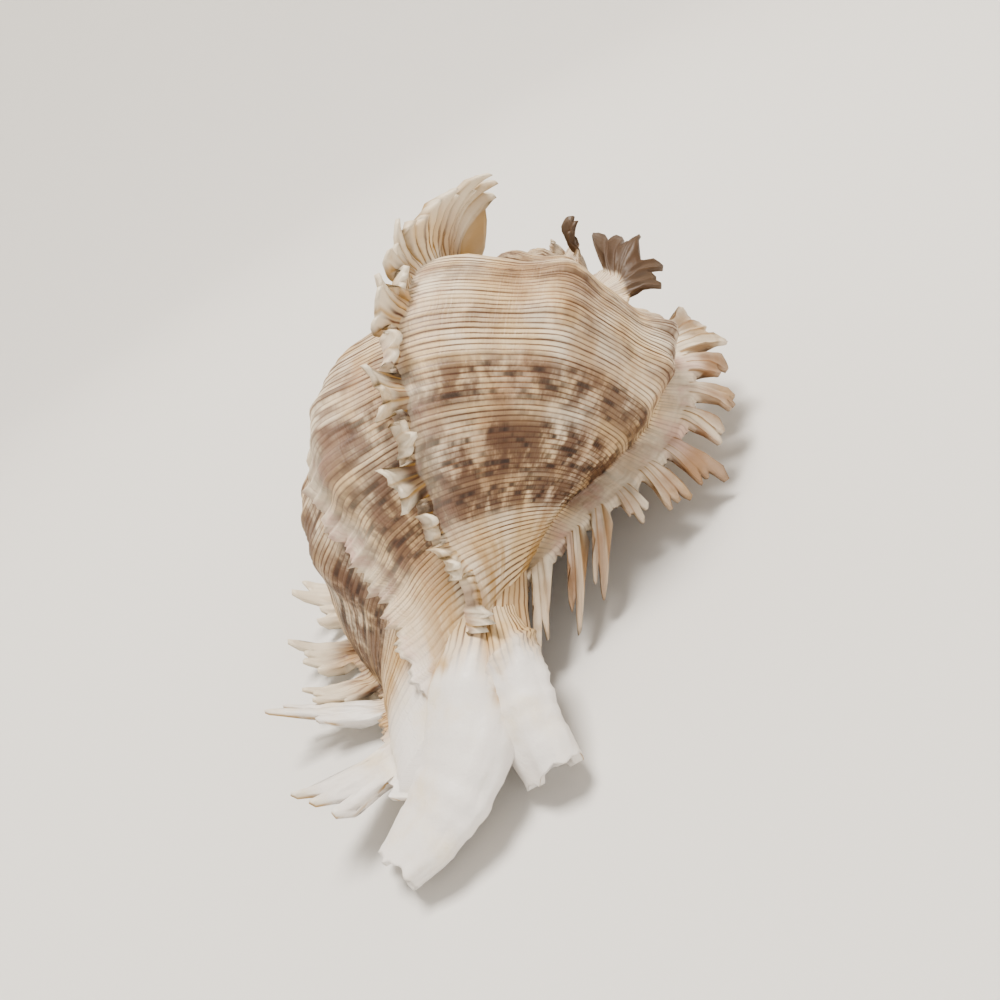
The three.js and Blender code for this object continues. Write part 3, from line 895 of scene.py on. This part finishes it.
def floor_sweep():
    mesh = bmesh.new()
    bmesh.ops.create_circle(mesh, segments=96, radius=FLOOR_RADIUS, cap_ends=True)
    edges = [edge for edge in mesh.edges if edge.is_boundary]
    for step in range(1, SWEEP_STEPS + 1):
        turn = step / SWEEP_STEPS * math.pi / 2
        grown = bmesh.ops.extrude_edge_only(mesh, edges=edges)["geom"]
        verts = [element for element in grown if isinstance(element, bmesh.types.BMVert)]
        edges = [element for element in grown if isinstance(element, bmesh.types.BMEdge)]
        radius = FLOOR_RADIUS + SWEEP_RADIUS * math.sin(turn)
        for vert in verts:
            flat = Vector((vert.co.x, vert.co.y, 0)).normalized() * radius
            vert.co = (flat.x, flat.y, SWEEP_RADIUS * (1 - math.cos(turn)))
    grown = bmesh.ops.extrude_edge_only(mesh, edges=edges)["geom"]
    wall = [element for element in grown if isinstance(element, bmesh.types.BMVert)]
    bmesh.ops.translate(mesh, verts=wall, vec=(0, 0, WALL_HEIGHT))
    bmesh.ops.recalc_face_normals(mesh, faces=mesh.faces[:])
    data = bpy.data.meshes.new("floor")
    mesh.to_mesh(data)
    mesh.free()
    piece = bpy.data.objects.new("floor", data)
    bpy.context.collection.objects.link(piece)
    for polygon in data.polygons:
        polygon.use_smooth = True
    material = bpy.data.materials.new("pale paper")
    material.use_nodes = True
    shader = material.node_tree.nodes["Principled BSDF"]
    shader.inputs["Base Color"].default_value = FLOOR_COLOUR
    shader.inputs["Roughness"].default_value = 0.8
    data.materials.append(material)


floor_sweep()
print("floor made, its wall's top in metres:", SWEEP_RADIUS + WALL_HEIGHT)

# %% [markdown]
# ## The camera
# The picture looks past the canal at the back of the shell. The shell lies down here, so a camera
# that keeps the same angle to it looks down on the floor and is rolled. It is aimed by a tracking
# turn and then turned about its own line of sight, which keeps aim and roll apart.

# %% Camera
AIM = Vector((0.01127, -0.00619, 0.02970))
CAMERA_PLACE = Vector((0.10952, -0.14746, 0.13149))
CAMERA_ROLL = -32.14
LENS = 27.72
SENSOR = 36


def look_camera():
    data = bpy.data.cameras.new("camera")
    data.lens = LENS
    data.sensor_width = SENSOR
    data.clip_start = 0.01
    camera = bpy.data.objects.new("camera", data)
    bpy.context.collection.objects.link(camera)
    level = (AIM - CAMERA_PLACE).to_track_quat("-Z", "Y").to_matrix()
    turned = level @ Matrix.Rotation(math.radians(CAMERA_ROLL), 3, "Z")
    camera.matrix_world = Matrix.Translation(CAMERA_PLACE) @ turned.to_4x4()
    bpy.context.scene.camera = camera
    return turned


view = look_camera()
print("camera up in the world:", [round(c, 2) for c in view @ Vector((0, 1, 0))])

# %% [markdown]
# ## The lights
# One large soft light comes from above and left in the picture, and a weak cool fill from the
# camera's side opens the shadows. Their directions are given in the picture's own right, up and
# towards the eye, because that is how light is read off a picture.

# %% Lights
KEY = {"direction": (-0.5, 0.9, 0.35), "distance": 1.7, "size": 0.6, "power": 40,
       "colour": (1, 0.96, 0.9)}
FILL = {"direction": (0.35, -0.1, 1.0), "distance": 1.0, "size": 0.8, "power": 3.5,
        "colour": (0.95, 0.97, 1)}
WORLD_COLOUR = (0.9, 0.92, 0.95, 1)
WORLD_STRENGTH = 0.35


def area_light(name, direction, distance, size, power, colour):
    """A soft square light in a direction given as right, up and towards the camera."""
    data = bpy.data.lights.new(name, "AREA")
    data.size = size
    data.energy = power
    data.color = colour
    light = bpy.data.objects.new(name, data)
    bpy.context.collection.objects.link(light)
    place = AIM + (view @ Vector(direction)).normalized() * distance
    aimed = (AIM - place).to_track_quat("-Z", "Y").to_matrix().to_4x4()
    light.matrix_world = Matrix.Translation(place) @ aimed
    print(name, "at", [round(c, 2) for c in place])


area_light("key", **KEY)
area_light("fill", **FILL)
world = bpy.data.worlds.new("studio")
world.use_nodes = True
world.node_tree.nodes["Background"].inputs["Color"].default_value = WORLD_COLOUR
world.node_tree.nodes["Background"].inputs["Strength"].default_value = WORLD_STRENGTH
bpy.context.scene.world = world
bpy.context.scene.view_settings.look = "AgX - Medium High Contrast"
